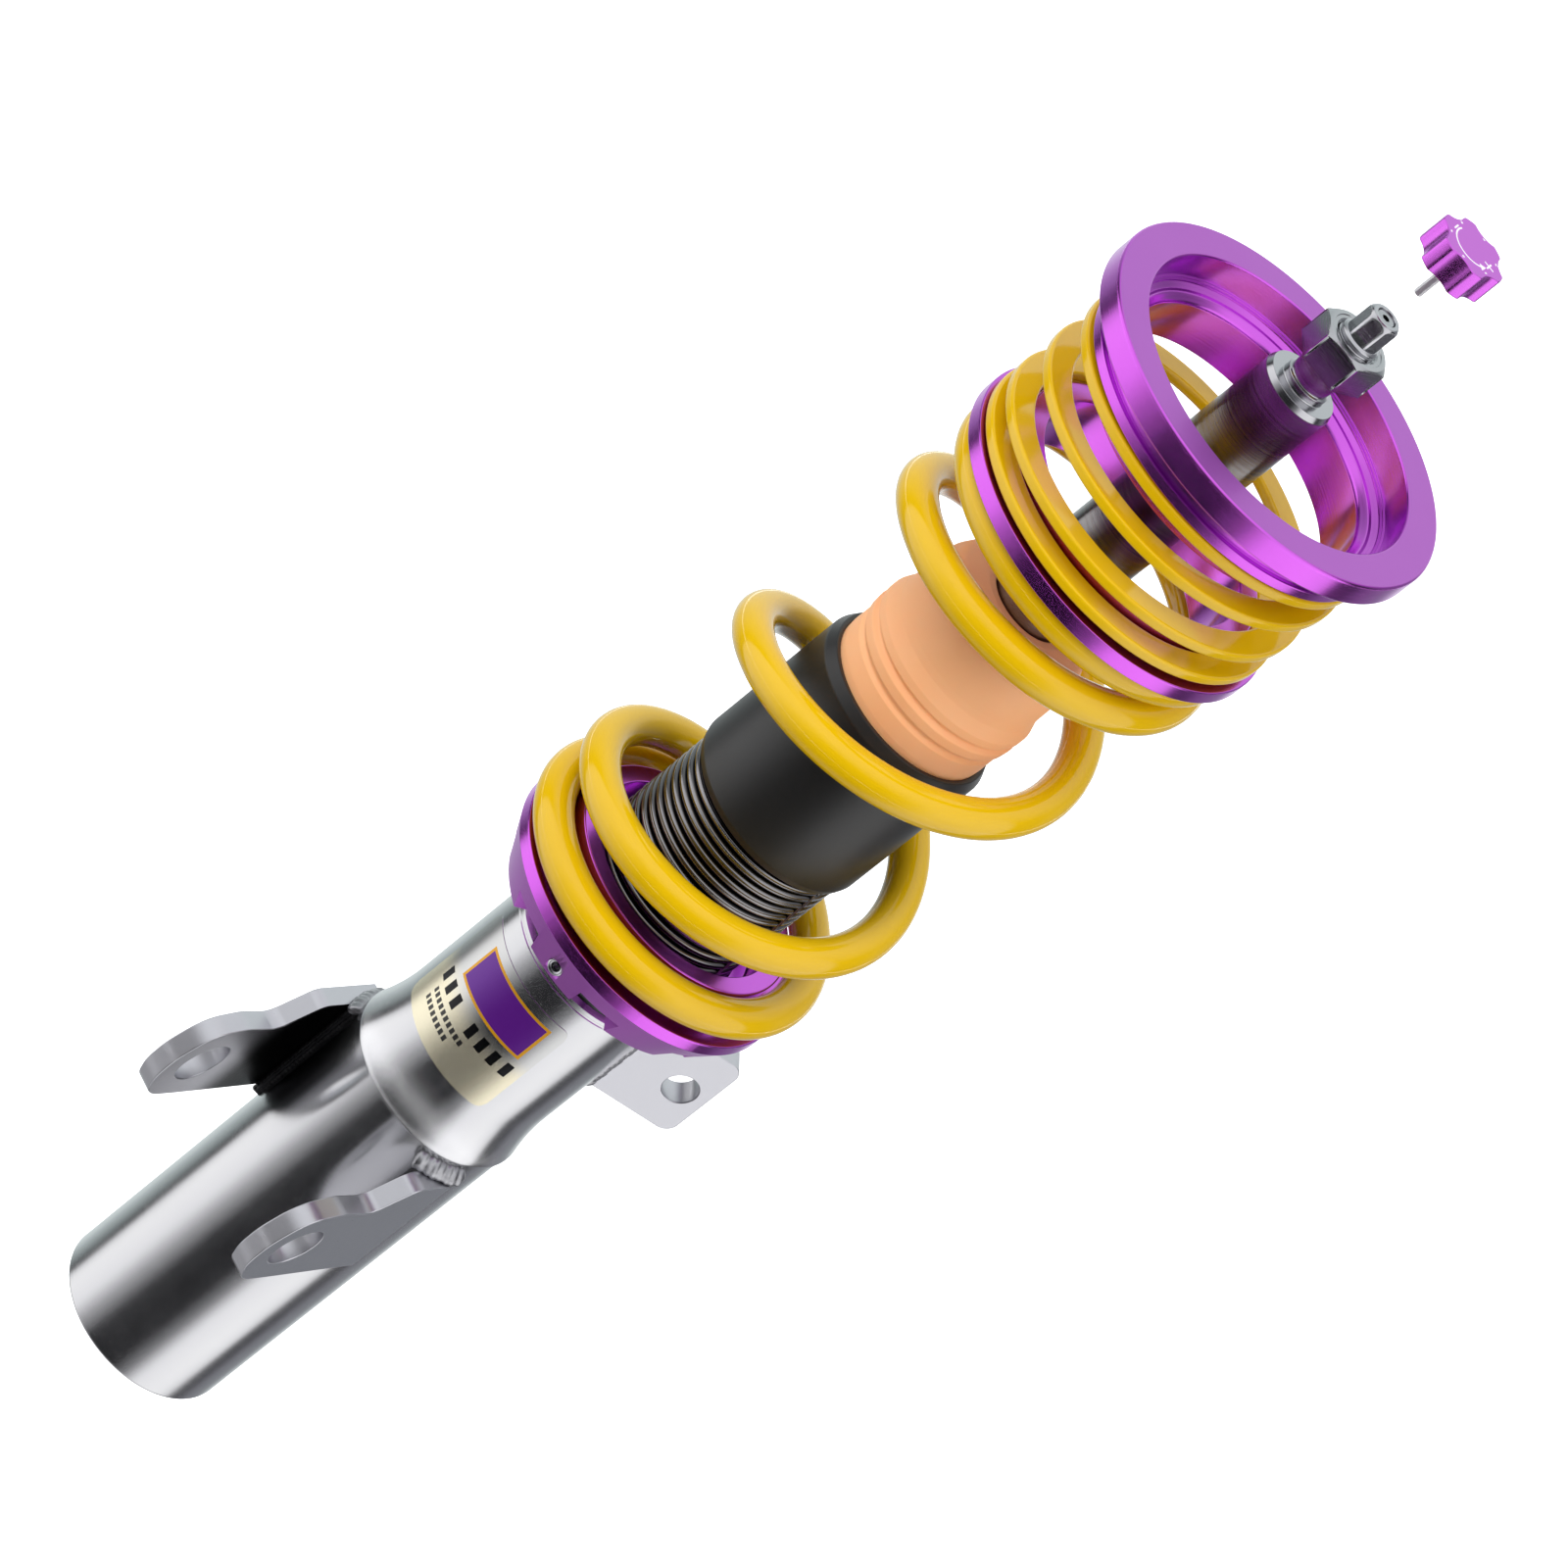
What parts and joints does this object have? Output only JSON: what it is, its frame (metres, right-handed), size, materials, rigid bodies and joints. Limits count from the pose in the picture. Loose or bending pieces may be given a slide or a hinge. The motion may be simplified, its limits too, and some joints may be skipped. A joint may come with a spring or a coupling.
{
  "type": "coilover strut",
  "caption": "Front coilover strut: welded strut body with knuckle ears, threaded spring perch, main and helper springs, bump stop, damper rod and a lift-off rebound adjuster knob.",
  "frame": {"origin": "on the strut axis, at the lower end of the clamp tube", "axes": "+Z along the strut to the rod end, +X along the two ear holes, ears standing out to -Y"},
  "size_m": [0.1094, 0.1182, 0.514],
  "materials": {
    "stainless": "satin",
    "bracket_steel": "satin",
    "weld": "rough",
    "inner_steel": "satin",
    "rod_steel": "polished",
    "bronze": "satin",
    "seal_rubber": "matt",
    "black_plastic": "satin",
    "foam": "matt",
    "anodised": "satin",
    "spring_coat": "gloss",
    "label": "satin",
    "pad_plastic": "matt"
  },
  "bodies": {
    "strut": {"clamp_tube": "stainless", "base_plug": "inner_steel", "strut_housing": "stainless", "bracket_left": "bracket_steel", "bracket_right": "bracket_steel", "bracket_welds": "weld", "hose_tab": "bracket_steel", "tab_weld": "weld", "label": "label", "pressure_tube": "inner_steel", "base_valve": "inner_steel", "rod_guide": "inner_steel", "guide_bush": "bronze", "rod_seal": "seal_rubber", "closing_nut": "inner_steel", "dust_sleeve": "black_plastic", "bump_stop": "foam"},
    "rod": {"piston_rod": "rod_steel", "rebound_stop": "inner_steel", "rebound_bumper": "seal_rubber", "piston": "inner_steel", "piston_band": "bronze", "piston_nut": "rod_steel", "top_nut": "rod_steel"},
    "adjuster": {"adjuster_shaft": "rod_steel"},
    "needle_body": {"needle": "rod_steel"},
    "knob": {"rebound_knob": "anodised", "knob_pin": "rod_steel"},
    "carrier": {"main_spring": "spring_coat"},
    "collar": {"spring_perch": "anodised", "set_screw": "rod_steel", "lock_pad": "pad_plastic"},
    "separator": {"spring_separator": "anodised", "helper_spring": "spring_coat"},
    "top_seat": {"top_spring_seat": "anodised"}
  },
  "joints": [
    {"name": "damper_stroke", "type": "slide", "parent": "strut", "child": "rod", "axis": [0, 0, 1], "range_m": [-0.075, 0], "stiffness_N_per_m": 400, "springref_m": 0.35},
    {"name": "rebound_turn", "type": "hinge", "parent": "rod", "child": "adjuster", "pos_m": [0, 0, 0.47], "axis": [0, 0, 1], "range_deg": [-720, 0]},
    {"name": "needle_slide", "type": "slide", "parent": "rod", "child": "needle_body", "axis": [0, 0, 1], "range_m": [-0.002, 0]},
    {"name": "knob_lift", "type": "slide", "parent": "adjuster", "child": "knob", "axis": [0, 0, 1], "range_m": [-0.0165, 0]},
    {"name": "perch_height", "type": "slide", "parent": "strut", "child": "carrier", "axis": [0, 0, 1], "range_m": [-0.003, 0.03]},
    {"name": "collar_turn", "type": "hinge", "parent": "carrier", "child": "collar", "pos_m": [0, 0, 0.2135], "axis": [0, 0, 1], "range_deg": [-360, 3600]},
    {"name": "separator_slide", "type": "slide", "parent": "carrier", "child": "separator", "axis": [0, 0, 1], "range_m": [-0.054, 0], "deforming": ["main_spring"]},
    {"name": "seat_slide", "type": "slide", "parent": "separator", "child": "top_seat", "axis": [0, 0, 1], "range_m": [-0.021, 0], "deforming": ["helper_spring"]}
  ],
  "couplings": [
    {"joint": "separator_slide", "follows": "damper_stroke", "ratio": 0.72},
    {"joint": "seat_slide", "follows": "damper_stroke", "ratio": 0.28},
    {"joint": "needle_slide", "follows": "rebound_turn", "m_per_rad": 0.00015915},
    {"joint": "collar_turn", "follows": "perch_height", "rad_per_m": 2094.4}
  ]
}
